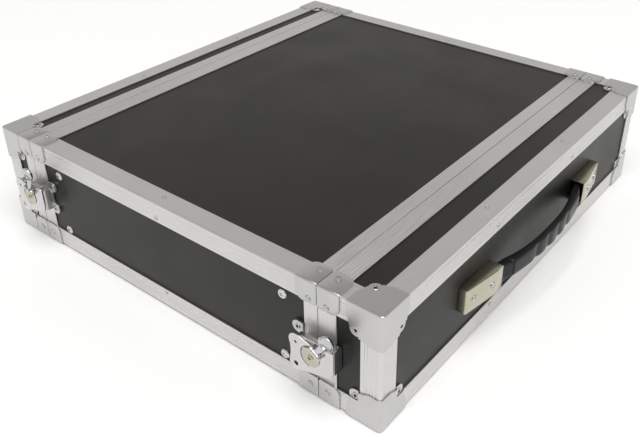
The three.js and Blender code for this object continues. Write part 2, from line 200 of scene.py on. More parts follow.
def plate(outline, z0, z1, holes=(), edge=0.25):
    """A flat plate with holes and rounded edges."""
    data = bpy.data.curves.new("plate", "CURVE")
    data.dimensions = "2D"
    data.fill_mode = "BOTH"
    data.extrude = (z1 - z0) / 2 - edge
    data.bevel_depth = edge
    data.bevel_resolution = 2
    data.offset = -edge
    for points in (outline, *holes):
        spline = data.splines.new("POLY")
        spline.points.add(len(points) - 1)
        for point, (x, y) in zip(spline.points, points):
            point.co = (x, y, 0, 1)
        spline.use_cyclic_u = True
    return shifted(evaluated(data), z=(z0 + z1) / 2)


def lathe(profile, steps=32):
    """A profile of (radius, z) turned about Z. It starts and ends on the axis, or is a closed loop."""
    vertices, rings = [], []
    for radius, z in profile:
        count = 1 if radius < 1e-6 else steps
        rings.append([len(vertices) + i for i in range(count)])
        vertices += [(x, y, z) for x, y in circle(0, 0, radius, count)] if count > 1 else [(0, 0, z)]
    faces = []
    pairs = list(zip(rings, rings[1:]))
    if len(rings[0]) > 1:
        pairs.append((rings[-1], rings[0]))
    for a, b in pairs:
        for i in range(steps):
            quad = [a[i % len(a)], a[(i + 1) % len(a)], b[(i + 1) % len(b)], b[i % len(b)]]
            faces.append(list(dict.fromkeys(quad)))
    return mesh_of(vertices, faces)


def bent_sheet(path, thickness, y0, y1):
    """A sheet that follows a path of (x, z) points and runs from y0 to y1."""
    left, right = [], []
    for i, (x, z) in enumerate(path):
        before, after = path[max(i - 1, 0)], path[min(i + 1, len(path) - 1)]
        along = Vector((after[0] - before[0], after[1] - before[1])).normalized()
        side = Vector((-along.y, along.x)) * thickness / 2
        left.append((x + side.x, z + side.y))
        right.append((x - side.x, z - side.y))
    return prism(left + right[::-1], y0, y1, lambda p: (p[0], p[2], p[1]))


# Materials

SOCKETS = {"specular_ior_level": "Specular IOR Level"}


def new_material(name, colour, metallic, roughness, **sockets):
    material = bpy.data.materials.new(name)
    material.use_nodes = True
    shader = material.node_tree.nodes["Principled BSDF"]
    shader.inputs["Base Color"].default_value = (*colour, 1)
    shader.inputs["Metallic"].default_value = metallic
    shader.inputs["Roughness"].default_value = roughness
    for key, value in sockets.items():
        shader.inputs[SOCKETS[key]].default_value = value
    return material


def node(material, kind, **settings):
    made = material.node_tree.nodes.new(kind)
    for key, value in settings.items():
        if key in made.inputs:
            made.inputs[key].default_value = value
        else:
            setattr(made, key, value)
    return made


def link(material, source, output, target, socket):
    material.node_tree.links.new(source.outputs[output], target.inputs[socket])


def noise(material, scale, stretch=(1, 1, 1), detail=3.0, rough=0.5):
    place = node(material, "ShaderNodeTexCoord")
    mapping = node(material, "ShaderNodeMapping", Scale=stretch)
    texture = node(material, "ShaderNodeTexNoise", Scale=scale, Detail=detail, Roughness=rough)
    link(material, place, "Object", mapping, "Vector")
    link(material, mapping, "Vector", texture, "Vector")
    return texture


NOISE_SPREAD = (0.3, 0.7)  # where most values of a noise texture lie


def map_range(material, limits, **settings):
    """A node that maps values, with its limits as (from min, from max, to min, to max)."""
    made = node(material, "ShaderNodeMapRange", **settings)
    for socket, value in zip(("From Min", "From Max", "To Min", "To Max"), limits):
        made.inputs[socket].default_value = value
    return made


def vary_roughness(material, texture, lowest, highest):
    spread = map_range(material, (*NOISE_SPREAD, lowest, highest))
    link(material, texture, "Fac", spread, "Value")
    link(material, spread, "Result", material.node_tree.nodes["Principled BSDF"], "Roughness")


def vary_colour(material, texture, first, second):
    ramp = node(material, "ShaderNodeValToRGB")
    ramp.color_ramp.elements[0].position = 0.35
    ramp.color_ramp.elements[1].position = 0.65
    ramp.color_ramp.elements[0].color = (*first, 1)
    ramp.color_ramp.elements[1].color = (*second, 1)
    link(material, texture, "Fac", ramp, "Fac")
    link(material, ramp, "Color", material.node_tree.nodes["Principled BSDF"], "Base Color")


def add_bump(material, texture, height, strength=1.0, under=None):
    bump = node(material, "ShaderNodeBump")
    bump.inputs["Strength"].default_value = strength
    bump.inputs["Distance"].default_value = height * MM
    link(material, texture, "Fac", bump, "Height")
    if under:
        link(material, under, "Normal", bump, "Normal")
    link(material, bump, "Normal", material.node_tree.nodes["Principled BSDF"], "Normal")
    return bump


def laminate_material():
    material = new_material("black_laminate", (0.009, 0.009, 0.008), 0, 0.4, specular_ior_level=0.3)
    vary_colour(material, noise(material, 9), (0.008, 0.0078, 0.0068), (0.0115, 0.0105, 0.009))
    vary_roughness(material, noise(material, 14, detail=5), 0.36, 0.46)
    grain = add_bump(material, noise(material, 1100, detail=2), 0.05, 0.35)
    add_bump(material, noise(material, 26, detail=1), 0.05, 0.15, under=grain)
    return material


def aluminium_material(axis):
    """Satin extrusion with drawing lines along one axis."""
    material = new_material(f"aluminium_along_{axis}", (0.655, 0.647, 0.632), 1, 0.4)
    stretch = [1.0 if letter == axis else 45.0 for letter in "xyz"]
    lines = noise(material, 38, stretch, detail=4, rough=0.6)
    vary_roughness(material, lines, 0.34, 0.48)
    vary_colour(material, noise(material, 11), (0.635, 0.627, 0.614), (0.675, 0.665, 0.648))
    add_bump(material, lines, 0.02, 0.3)
    return material


def plated_material(name, first, second, lowest, highest, height=0.01):
    material = new_material(name, first, 1, lowest)
    vary_colour(material, noise(material, 30, detail=3), first, second)
    vary_roughness(material, noise(material, 70, detail=4), lowest, highest)
    add_bump(material, noise(material, 240, detail=3), height, 0.15)
    return material


def powder_coat_material():
    material = new_material("black_powder_coat", (0.018, 0.018, 0.019), 0, 0.5)
    vary_roughness(material, noise(material, 90, detail=3), 0.42, 0.56)
    add_bump(material, noise(material, 900, detail=2), 0.06, 0.5)
    return material


def moulded_plastic_material():
    material = new_material("black_moulded_plastic", (0.005, 0.005, 0.005), 0, 0.36, specular_ior_level=0.26)
    vary_roughness(material, noise(material, 45, detail=4), 0.3, 0.42)
    add_bump(material, noise(material, 700, detail=2), 0.05, 0.4)
    return material


LAMINATE = laminate_material()
ALUMINIUM = {axis: aluminium_material(axis) for axis in "xyz"}
ZINC = plated_material("zinc_plate", (0.54, 0.538, 0.538), (0.57, 0.565, 0.558), 0.31, 0.37)
LATCH_ZINC = plated_material("bright_zinc_plate", (0.60, 0.592, 0.592), (0.64, 0.63, 0.62), 0.2, 0.28)
RIVET_ZINC = plated_material("rivet_plate", (0.50, 0.49, 0.485), (0.57, 0.56, 0.55), 0.24, 0.34)
CHAMPAGNE = plated_material("champagne_nickel", (0.49, 0.472, 0.372), (0.51, 0.49, 0.388), 0.24, 0.27)
CHROME = plated_material("chrome_plate", (0.53, 0.535, 0.54), (0.57, 0.575, 0.58), 0.04, 0.08, 0.003)
POWDER_COAT = powder_coat_material()
PLASTIC = moulded_plastic_material()


# Pieces

def add_piece(name, mesh, material, body, replaces=(), edge=0.0, sharp=32):
    """Places a mesh drawn about the centre of the case, softens its edges and fixes it to a body."""
    mesh = welded(mesh.copy())
    if edge:
        settings = {"width": edge, "segments": 2, "limit_method": "ANGLE",
                    "angle_limit": math.radians(35), "use_clamp_overlap": True}
        mesh = evaluated(mesh, [("BEVEL", settings)])
    mesh.transform(Matrix.Scale(MM, 4) @ Matrix.Translation(CENTRE))
    mesh.materials.clear()
    mesh.materials.append(material)
    mesh.name = name
    mesh.shade_smooth()
    mesh.set_sharp_from_angle(angle=math.radians(sharp))
    piece = bpy.data.objects.new(name, mesh)
    bpy.context.scene.collection.objects.link(piece)
    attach(piece, body)
    if replaces:
        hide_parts(*replaces)
    return piece


def dress(name, material, edge):
    """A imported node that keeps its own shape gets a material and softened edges."""
    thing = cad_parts[name]
    thing.data.materials.clear()
    thing.data.materials.append(material)
    modifier = thing.modifiers.new("soft_edges", "BEVEL")
    modifier.width = edge * MM
    modifier.segments = 2
    modifier.limit_method = "ANGLE"
    modifier.angle_limit = math.radians(40)


def dress_panels():
    for name in ("top_panel", "bottom_panel", "left_panel", "right_panel", "front_lid_face_panel",
                 "front_lid_side_frame", "rear_lid_face_panel", "rear_lid_side_frame"):
        dress(name, LAMINATE, 0.2)
    for end, _, _ in ENDS:
        for side, _ in SIDES:
            dress(f"{end}_{side}_rack_rail", POWDER_COAT, 0.25)


# Ribbed aluminium angles

RIB_PITCH = 2.75
RIB_WIDTH = 1.3
FINE_RIB = 0.04  # depth on the top and bottom faces
DEEP_RIB = 0.24  # depth on the sides
BEND = 1.5
UPRIGHT_BEND = 3.0


def ribbed(start, end, depth, margin=3.2, width=RIB_WIDTH):
    """Points (distance, depth) along a face from start to end, with evenly spaced grooves."""
    span = end - start
    count = max(int((span - 2 * margin + 0.01) / RIB_PITCH), 0)
    first = start + (span - count * RIB_PITCH) / 2
    points = [(start, 0.0)]
    for i in range(count + 1):
        centre = first + i * RIB_PITCH
        points += [(centre - width / 2, 0), (centre - width / 4, depth * 0.7), (centre, depth),
                   (centre + width / 4, depth * 0.7), (centre + width / 2, 0)]
    return points + [(end, 0.0)]


def angle_profile(radius, depth_one, depth_two):
    """An L as insets (u, v) from its two outer faces; the first leg lies on v = 0."""
    first = ribbed(radius, LEG, depth_one)[::-1]
    corner = arc(radius, radius, radius, 270, 180, 6)[1:-1]
    second = [(d, s) for s, d in ribbed(radius, LEG, depth_two)]
    inside = [(SHEET, LEG), (SHEET, SHEET), (LEG, SHEET)]
    return first + corner + second + inside


def add_edge_angle(name, body, sx, sz, y0, y1, replaces):
    profile = angle_profile(BEND, FINE_RIB, DEEP_RIB)
    mesh = prism(profile, y0, y1, lambda p: (sx * (ANGLE.x - p[0]), p[2], sz * (ANGLE.z - p[1])))
    return add_piece(name, mesh, ALUMINIUM["y"], body, replaces)


def add_body_angles():
    y0 = FRONT_SEAM + SEAM_GAP + NARROW_STRIP + GAP
    y1 = REAR_SEAM - SEAM_GAP - WIDE_STRIP - GAP
    for level, sz in LEVELS:
        for side, sx in SIDES:
            name = f"{level}_{side}_edge_angle"
            add_edge_angle(f"{name}_ribbed", "case", sx, sz, y0, y1, [name])


def add_lid_angles(lid, end, seam):
    under_cap = 2.5
    for level, sz in LEVELS:
        name = f"{lid}_{level}_face_angle"
        profile = angle_profile(BEND, FINE_RIB, DEEP_RIB)
        reach = ANGLE.x - under_cap
        mesh = prism(profile, -reach, reach,
                     lambda p: (p[2], end * (ANGLE.y - p[0]), sz * (ANGLE.z - p[1])))
        add_piece(f"{name}_ribbed", mesh, ALUMINIUM["x"], lid, [name])
    for side, sx in SIDES:
        name = f"{lid}_{side}_face_angle"
        profile = angle_profile(UPRIGHT_BEND, DEEP_RIB, DEEP_RIB)
        reach = ANGLE.z - LEG - GAP
        mesh = prism(profile, -reach, reach,
                     lambda p: (sx * (ANGLE.x - p[0]), end * (ANGLE.y - p[1]), p[2]))
        add_piece(f"{name}_ribbed", mesh, ALUMINIUM["z"], lid, [name])
    strip = WIDE_STRIP if end < 0 else NARROW_STRIP
    start = seam + end * (SEAM_GAP + strip + GAP)
    stop = end * (ANGLE.y - LEG - GAP)
    for level, sz in LEVELS:
        for side, sx in SIDES:
            add_edge_angle(f"{lid}_{level}_{side}_edge_angle_ribbed", lid, sx, sz,
                           min(start, stop), max(start, stop), ())


# Rims at the seams

LIP = 12.0
LIP_INSET = INNER_INSET + GAP
RIM_INSET = INNER_INSET + SHEET
TONGUE = {"length": 5.0, "inset": 4.6, "thickness": 3.8}
TONGUED_END = 1.5
GROOVED_END = 7.0
GROOVE_DEPTH = 6.0
RIM_RIB = 0.08


def rim_profile(tongued):
    """Points (distance from the seam, inset from the outer face) round the section of a rim."""
    s = SEAM_GAP
    strip = s + (NARROW_STRIP if tongued else WIDE_STRIP)
    end = s + (TONGUED_END if tongued else GROOVED_END)
    outside = ribbed(s, strip, RIM_RIB, margin=2.4, width=1.0)
    points = outside + [(strip, SHEET), (end, SHEET), (end, LIP_INSET), (s + LIP, LIP_INSET),
                        (s + LIP, RIM_INSET), (s, RIM_INSET)]
    near, far = TONGUE["inset"], TONGUE["inset"] + TONGUE["thickness"]
    if tongued:
        tip = s - TONGUE["length"]
        return points + [(s, far), (tip + 0.8, far), (tip, far - 0.8), (tip, near + 0.8),
                         (tip + 0.8, near), (s, near)]
    return points + [(s, far + GAP), (s + GROOVE_DEPTH, far + GAP),
                     (s + GROOVE_DEPTH, near - GAP), (s, near - GAP)]


def ring_sweep(profile, seam, towards):
    """A profile carried round the rectangle of the case, mitred at its corners."""
    corners = ((-1, -1), (1, -1), (1, 1), (-1, 1))
    n = len(profile)
    vertices = [(sx * (ANGLE.x - inset), seam + towards * y, sz * (ANGLE.z - inset))
                for sx, sz in corners for y, inset in profile]
    faces = [[c * n + i, c * n + (i + 1) % n, (c + 1) % 4 * n + (i + 1) % n, (c + 1) % 4 * n + i]
             for c in range(4) for i in range(n)]
    return mesh_of(vertices, faces)


def add_rim(name, body, seam, towards, tongued):
    mesh = ring_sweep(rim_profile(tongued), seam, towards)
    add_piece(f"{name}_ribbed", mesh, ALUMINIUM["x"], body, [name], edge=0.15)


# Seam braces

BRACE_BEND = 1.9
BRACE_STEPS = 7


def brace_outline(t, end_t, length, seam_radius, lobe_radius):
    """How much of the brace's length is left at t, near the rounded end of a leg."""
    near, far = 0.0, length
    for radius, corner in ((seam_radius, 0), (lobe_radius, 1)):
        into = t - (end_t - radius)
        if into > 0:
            back = radius - math.sqrt(max(radius * radius - into * into, 0))
            near, far = (near + back, far) if corner == 0 else (near, far - back)
    return near, far


def brace_stations(length):
    """(x, z, normal, near, far) along the outside of the L, as insets from the case's corner."""
    stations = []

    def leg(end_t, seam_radius, lobe_radius, place):
        ts = [BRACE_BEND + 0.01, end_t - lobe_radius]
        ts += [end_t - lobe_radius * (1 - math.sin(math.radians(a))) for a in range(10, 91, 8)]
        ts.append(end_t)
        return [(*place(t), *brace_outline(t, end_t, length, seam_radius, lobe_radius))
                for t in sorted(set(ts)) if t <= end_t]

    top = leg(BRACE_TOP, 3.5, 8.5, lambda t: (t, 0, (0, 1)))
    side = leg(BRACE_SIDE, 2.0, 8.0, lambda t: (0, t, (1, 0)))
    stations += top[::-1]
    for i in range(1, BRACE_STEPS):
        a = math.radians(90 * i / BRACE_STEPS)
        x = BRACE_BEND * (1 - math.sin(a))
        z = BRACE_BEND * (1 - math.cos(a))
        stations.append((x, z, (math.sin(a), math.cos(a)), 0.0, length))
    return stations + side


def brace_mesh(sx, sz, seam, towards, length):
    vertices, faces = [], []
    stations = brace_stations(length)
    for x, z, normal, near, far in stations:
        far = max(far, near + 0.3)
        for depth in (0, FITTED_PLATE):
            for y in (near, far):
                vertices.append((sx * (CAP.x - x - normal[0] * depth), seam + towards * (SEAM_GAP + y),
                                 sz * (CAP.z - z - normal[1] * depth)))
    for i in range(len(stations) - 1):
        a, b = 4 * i, 4 * i + 4
        faces += [[a, a + 1, b + 1, b], [a + 2, a + 3, b + 3, b + 2],
                  [a, a + 2, b + 2, b], [a + 1, a + 3, b + 3, b + 1]]
    last = 4 * len(stations) - 4
    faces += [[0, 1, 3, 2], [last, last + 1, last + 3, last + 2]]
    return mesh_of(vertices, faces)


def add_braces(name, body, seam, towards, length=BRACE_LENGTH):
    for level, sz in LEVELS:
        for side, sx in SIDES:
            mesh = brace_mesh(sx, sz, seam, towards, length)
            add_piece(f"{name}_{level}_{side}_seam_brace", mesh, ZINC, body, edge=0.15)


# Corner caps

CAP_ARM = 14.0  # width of the cap's straight ends
CAP_EDGE = 1.3
CAP_CORNER = 3.4
LOBE_RADIUS = 6.3
LOBE_STEP = 22.8
LOBE_DROP = 1.45
RIVET_HOLE = 1.5


def rounded_box(size, corner_radius, edge_radius):
    """A box from the origin, its edges at the origin corner rounded."""
    bm = bmesh.new()
    bmesh.ops.create_cube(bm, size=size)
    bmesh.ops.translate(bm, verts=bm.verts, vec=(size / 2,) * 3)

    def on(edge, axis, value=0.0):
        return all(abs(v.co[axis] - value) < 1e-4 for v in edge.verts)

    upright = [e for e in bm.edges if on(e, 0) and on(e, 1)]
    bmesh.ops.bevel(bm, geom=upright, offset=corner_radius, segments=7, profile=0.5, affect="EDGES")
    rest = [e for e in bm.edges if on(e, 2) and not on(e, 0, size) and not on(e, 1, size)]
    bmesh.ops.bevel(bm, geom=rest, offset=edge_radius, segments=4, profile=0.5, affect="EDGES")
    mesh = bpy.data.meshes.new("shape")
    bm.to_mesh(mesh)
    bm.free()
    return welded(mesh)


def cap_outline():
    """One half of the cap's outline on a face, from its straight end to the lobe's middle."""
    c, r = CAP_RIVET, LOBE_RADIUS
    points = [(CAP_SIZE, CAP_ARM)]
    start = arc(c, c, r, -20, 45, 9)
    points += curve_through(points[0], (CAP_SIZE - 3.2, 18.0), start[0], 6)
    return points + start[1:]


def split_at(points, level):
    """Where the outline crosses v = level, and the points before and after it."""
    for i, (a, b) in enumerate(zip(points, points[1:])):
        if a[1] <= level < b[1]:
            t = (level - a[1]) / (b[1] - a[1])
            return points[:i + 1], (a[0] + t * (b[0] - a[0]), level), points[i + 1:]
    raise ValueError("the outline doesn't reach this level")


def swapped(points):
    """The other half of an outline that is the same on both sides of its diagonal."""
    return [(v, u) for u, v in points][::-1]


def cap_mesh(room=None):
    """A corner cap with its corner at the origin and its faces on the three planes through it.

    Its lobes are pressed down towards the panels. Room is where the seam brace beside it starts.
    """
    t = FITTED_PLATE
    shell = cut(rounded_box(CAP_SIZE, CAP_CORNER, CAP_EDGE),
                shifted(rounded_box(CAP_SIZE + 5, CAP_CORNER - PLATE, 0.5), t, t, t))
    outline = cap_outline()
    before, crossing, _ = split_at(outline, LOBE_STEP)
    out = CAP_SIZE + 1
    edge = [(out, CAP_ARM), *before, crossing]
    waste = [*edge, (LOBE_STEP, LOBE_STEP), *swapped(edge), (out, out)]
    riser_start = LOBE_STEP - PLATE
    _, low_crossing, above = split_at(outline, riser_start)
    lobe = [(riser_start, riser_start), low_crossing, *above]
    lobe = lobe + swapped([low_crossing, *above])[1:]
    riser = [(riser_start, riser_start), low_crossing, crossing, (LOBE_STEP, LOBE_STEP),
             *swapped([low_crossing, crossing])]
    turns = (lambda p: (p[0], p[1], p[2]), lambda p: (p[1], p[2], p[0]), lambda p: (p[2], p[0], p[1]))
    for turn in turns:
        shell = cut(shell, prism(waste, -1, 5, turn))
        tab = united(prism(lobe, LOBE_DROP, LOBE_DROP + PLATE, turn),
                     prism(riser, 0.03, LOBE_DROP + PLATE - 0.02, turn))
        shell = united(shell, tab)
        shell = cut(shell, prism(circle(CAP_RIVET, CAP_RIVET, RIVET_HOLE, 16), LOBE_DROP - 1,
                                 LOBE_DROP + 3, turn))
    if room:
        shell = cut(shell, block(-1, BRACE_TOP + GAP, room, room + CAP_SIZE, -1, BRACE_SIDE + GAP))
    return shell


def add_caps(lid, end, mesh):
    for level, sz in LEVELS:
        for side, sx in SIDES:
            name = f"{lid}_{level}_{side}_corner_cap"
            place = Matrix.Diagonal((-sx, -end, -sz, 1))
            place.translation = (sx * CAP.x, end * CAP.y, sz * CAP.z)
            add_piece(f"{name}_pressed", moved(mesh, place), ZINC, lid, [name], sharp=1)


# Fasteners

SLEEVE_RIVET = {"y": 6.8, "top": 12.4, "side": 16.3}
LID_RIVET = {"x": 78.7, "top": 13.3, "face": 14.3}
RAIL_BOLTS = {"y_and_turn": ((157.4, 0.4), (-145.3, 1.1)), "z": (31.5, -34.0)}
UNDERSIDE_HEAD = 0.2  # nearly flush, because the case stands on its braces
BRACE_RIVET = {"along": 9.2, "top": 16.2, "upper_side": 18.5, "lower_side": 11.2}


def rivet(radius, height, hole):
    """A semi-tubular rivet: a rounded ring round a hole."""
    r, h = radius, height
    return lathe([(hole, -0.6), (r * 0.8, -0.6), (r, -0.2), (r, h * 0.45), (r * 0.93, h * 0.75),
                  (r * 0.8, h), (hole + 0.35, h), (hole, h * 0.8)], 24)


def flat_rivet(radius, height):
    """A flat head with a shallow dimple."""
    r, h = radius, height
    return lathe([(0, -0.6), (r * 0.5, -0.6), (r, -0.2), (r, h * 0.75), (r * 0.94, h), (r * 0.5, h),
                  (r * 0.3, h * 0.6), (0, h * 0.5)], 28)


def slotted_screw(radius, height):
    head = lathe([(0, -0.5), (radius * 0.6, -0.5), (radius, 0), (radius, height * 0.45),
                  (radius * 0.8, height * 0.85), (radius * 0.4, height), (0, height)], 28)
    return cut(head, block(-radius * 1.1, radius * 1.1, -0.45, 0.45, height * 0.45, height + 1))


def recessed_bolt(radius, height):
    head = lathe([(0, -0.5), (radius, -0.5), (radius, height * 0.4), (radius * 0.86, height * 0.8),
                  (radius * 0.6, height), (0, height)], 32)
    cross = [block(-2.1, 2.1, -0.55, 0.55, height * 0.3, height + 1),
             block(-0.55, 0.55, -2.1, 2.1, height * 0.31, height + 1)]
    return cut(head, *cross)


def facing(mesh, point, normal, spin=0.0):
    """A fastener drawn on Z, standing at a point and pointing along a normal."""
    turn = Vector(normal).to_track_quat("Z", "Y").to_matrix().to_4x4()
    return moved(mesh, Matrix.Translation(point) @ turn @ Matrix.Rotation(spin, 4, "Z"))


def cap_rivets(end):
    made = []
    head = rivet(2.9, 0.9, RIVET_HOLE)
    level = LOBE_DROP
    c = CAP_RIVET
    for _, sz in LEVELS:
        for _, sx in SIDES:
            x, y, z = CAP
            made.append(facing(head, (sx * (x - c), end * (y - c), sz * (z - level)), (0, 0, sz)))
            made.append(facing(head, (sx * (x - level), end * (y - c), sz * (z - c)), (sx, 0, 0)))
            made.append(facing(head, (sx * (x - c), end * (y - level), sz * (z - c)), (0, end, 0)))
    return made


def brace_rivets(seam, towards):
    made = []
    y = seam + towards * BRACE_RIVET["along"]
    side_head = flat_rivet(2.9, 0.9)
    for _, sz in LEVELS:
        head = side_head if sz > 0 else flat_rivet(2.9, UNDERSIDE_HEAD)
        drop = BRACE_RIVET["upper_side"] if sz > 0 else BRACE_RIVET["lower_side"]
        for _, sx in SIDES:
            made.append(facing(head, (sx * (CAP.x - BRACE_RIVET["top"]), y, sz * CAP.z), (0, 0, sz)))
            made.append(facing(side_head, (sx * CAP.x, y, sz * (CAP.z - drop)), (sx, 0, 0)))
    return made


def angle_rivets():
    """The rivets that hold the long angles of the sleeve."""
    made = []
    head = flat_rivet(2.0, 0.7)
    y, top, side = SLEEVE_RIVET["y"], SLEEVE_RIVET["top"], SLEEVE_RIVET["side"]
    for _, sz in LEVELS:
        for _, sx in SIDES:
            made.append(facing(head, (sx * (ANGLE.x - top), y, sz * ANGLE.z), (0, 0, sz)))
            made.append(facing(head, (sx * ANGLE.x, y, sz * (ANGLE.z - side)), (sx, 0, 0)))
    return made


def lid_angle_rivets(end):
    made = []
    head = flat_rivet(2.0, 0.7)
    top, face = LID_RIVET["top"], LID_RIVET["face"]
    for _, sz in LEVELS:
        for x in (-LID_RIVET["x"], LID_RIVET["x"]):
            made.append(facing(head, (x, end * (ANGLE.y - top), sz * ANGLE.z), (0, 0, sz)))
            made.append(facing(head, (x, end * ANGLE.y, sz * (ANGLE.z - face)), (0, end, 0)))
    return made


def add_fasteners():
    case = angle_rivets() + brace_rivets(FRONT_SEAM, 1) + brace_rivets(REAR_SEAM, -1)
    add_piece("case_rivets", joined(*case), RIVET_ZINC, "case")
    for lid, end, seam in (("front_lid", -1, FRONT_SEAM), ("rear_lid", 1, REAR_SEAM)):
        rivets = cap_rivets(end) + lid_angle_rivets(end) + brace_rivets(seam, end)
        add_piece(f"{lid}_rivets", joined(*rivets), RIVET_ZINC, lid)
    bolts = [facing(recessed_bolt(4.6, 2.0), (sx * PANEL.x, y, z), (sx, 0, 0), turn)
             for _, sx in SIDES for y, turn in RAIL_BOLTS["y_and_turn"] for z in RAIL_BOLTS["z"]]
    add_piece("rail_bolts", joined(*bolts), LATCH_ZINC, "case")


# Handle

HANDLE_HALF = 12.6
HANDLE_BACK = -PANEL.y - GAP
END_CAP = {"inner_x": 88.2, "flat": 11.2, "outer_x": 140.9, "high": 12.6, "low": 5.9, "sheet": 1.2}
HANDLE_SCREWS = ((104.0, 0.5), (130.0, 1.9))  # |x| and turn


def add_handle_caps():
    e = END_CAP
    high, low_y = -CAP.y - e["high"], -CAP.y - e["low"]
    bend = e["inner_x"] + e["flat"]
    outer = [(e["inner_x"], HANDLE_BACK), (e["inner_x"], high), (bend - 1, high), (bend + 1, high + 0.2),
             (e["outer_x"] - 1.2, low_y - 0.15), (e["outer_x"] - 0.3, low_y + 0.3),
             (e["outer_x"], low_y + 1.2), (e["outer_x"], HANDLE_BACK)]
    s = e["sheet"]
    hollow = [(e["inner_x"] - 5, HANDLE_BACK + 5), (e["inner_x"] - 5, high + s), (bend, high + s),
              (e["outer_x"] - s, low_y + s), (e["outer_x"] - s, HANDLE_BACK + 5)]
    shell = cut(prism(outer, -HANDLE_HALF, HANDLE_HALF),
                prism(hollow, -HANDLE_HALF + s, HANDLE_HALF - s))
    slope = Vector((high - low_y, -(e["outer_x"] - bend))).normalized()
    for side, sx in SIDES:
        name = f"handle_{side}_end_cap"
        mesh = moved(shell, Matrix.Diagonal((sx, 1, 1, 1)))
        add_piece(f"{name}_folded", mesh, CHAMPAGNE, "front_lid", [name], edge=0.25)
        screws = []
        for x, spin in HANDLE_SCREWS:
            share = (x - bend) / (e["outer_x"] - bend)
            y = high + share * (low_y - high)
            screws.append(facing(slotted_screw(3.3, 1.6), (sx * x, y, 0),
                                 (sx * -slope.x, slope.y, 0), spin))
        add_piece(f"handle_{side}_screws", joined(*screws), RIVET_ZINC, "front_lid")


GRIP_END = 72.0
GRIP_SLICES = 120
GRIP_HALF_HEIGHT = 9.3
GRIP_PROUD = 22.0
GROOVES = (-33.0, -11.0, 11.0, 33.0)
GROOVE_WIDTH = 4.8
GROOVE_DIP = 1.9
RIDGE_RADIUS = 1.6
# |x|, outer and inner face in front of the corner caps
NECK = ((72.0, 14.7, 4.6), (89.4, 8.0, 1.4), (98.0, 5.9, -0.8), (110.0, 3.2, -0.8))


def neck_section(a):
    for (x0, out0, in0), (x1, out1, in1) in zip(NECK, NECK[1:]):
        if a <= x1 + 1e-6:
            t = (a - x0) / (x1 - x0)
            return out0 + t * (out1 - out0), in0 + t * (in1 - in0)
    raise ValueError("beyond the end of the strap")


def grip_section(x):
    """Outer and inner face in front of the caps, half height, groove depth and roundness at x."""
    a = abs(x)
    if a > GRIP_END:
        return (*neck_section(a), GRIP_HALF_HEIGHT - 0.5, 0.0, 0.26)
    into = max(0.0, RIDGE_RADIUS - (GRIP_END - a))
    pull = RIDGE_RADIUS - math.sqrt(RIDGE_RADIUS ** 2 - into ** 2)
    outer = GRIP_PROUD - 6.5 * (a / GRIP_END) ** 2 - pull * 0.9
    inner = 14.0 - 9.5 * (a / GRIP_END) ** 2.6
    dip = GROOVE_DIP * sum(math.exp(-((x - g) / GROOVE_WIDTH) ** 2) for g in GROOVES)
    return outer, inner, GRIP_HALF_HEIGHT - pull * 0.4, dip, 0.4


def grip_ring(x, steps=44):
    """Points round a superellipse section; the finger grooves press into its outer and lower sides."""
    outer, inner, half, dip, roundness = grip_section(x)
    middle, reach = -CAP.y - (outer + inner) / 2, (outer - inner) / 2
    ring = []
    for i in range(steps):
        a = 2 * math.pi * (i + 0.5) / steps
        c, s = math.cos(a), math.sin(a)
        y = middle + reach * math.copysign(abs(c) ** roundness, c)
        z = half * math.copysign(abs(s) ** roundness, s)
        ring.append((x, y + dip * max(-c, 0) * (0.75 - 0.25 * s), z + dip * 0.6 * max(-s, 0)))
    return ring


def add_grip():
    tip = NECK[-1][0]
    near = [-tip + i * (tip - GRIP_END - 0.1) / 24 for i in range(25)]
    body = [-GRIP_END + i * 2 * GRIP_END / GRIP_SLICES for i in range(GRIP_SLICES + 1)]
    rings = [grip_ring(x) for x in near + body + [-x for x in reversed(near)]]
    n = len(rings[0])
    vertices = [point for ring in rings for point in ring]
    faces = [[k * n + i, k * n + (i + 1) % n, (k + 1) * n + (i + 1) % n, (k + 1) * n + i]
             for k in range(len(rings) - 1) for i in range(n)]
    faces += [list(range(n)), list(range(len(vertices) - n, len(vertices)))]
    add_piece("handle_grip_moulded", mesh_of(vertices, faces), PLASTIC, "handle",
              ["handle_grip"], sharp=50)


# Latches, drawn flat: x towards the front from the seam, y up, z out from the corner caps' face

DISC_X = 3.2
DISC_RADIUS = 9.3
SLOT_RADIUS = 4.3
TRAVEL = 6.0  # of the draw plate
FOOT = (-2.4, 0.4)  # bottom and top of the feet
DRAW = (11.2, 12.4)  # bottom and top of the draw plate
PIN_Z = 15.2
PIN_REACH = 12.0
WING_LENGTH = 30.0
WING_WIDTH = 14.6
WING_ANGLES = {"front": 55.0, "rear": 70.0}
BASE_EAR_X = -20.5
BASE_EARS = (11.5, -13)
KEEPER_EAR_X = 26.0
KEEPER_EARS = (13, -13)


def on_latch(mesh, sx, end, seam):
    frame_axes = Matrix(((0, 0, sx, 0), (-1, 0, 0, 0), (0, 1, 0, 0), (0, 0, 0, 1)))
    return moved(mesh, Matrix.Translation((sx * CAP.x, seam, LATCH_Z[end])) @ frame_axes)


def turned(mesh, degrees):
    turn = Matrix.Rotation(math.radians(degrees), 4, "Z")
    return moved(mesh, Matrix.Translation((DISC_X, 0, 0)) @ turn)


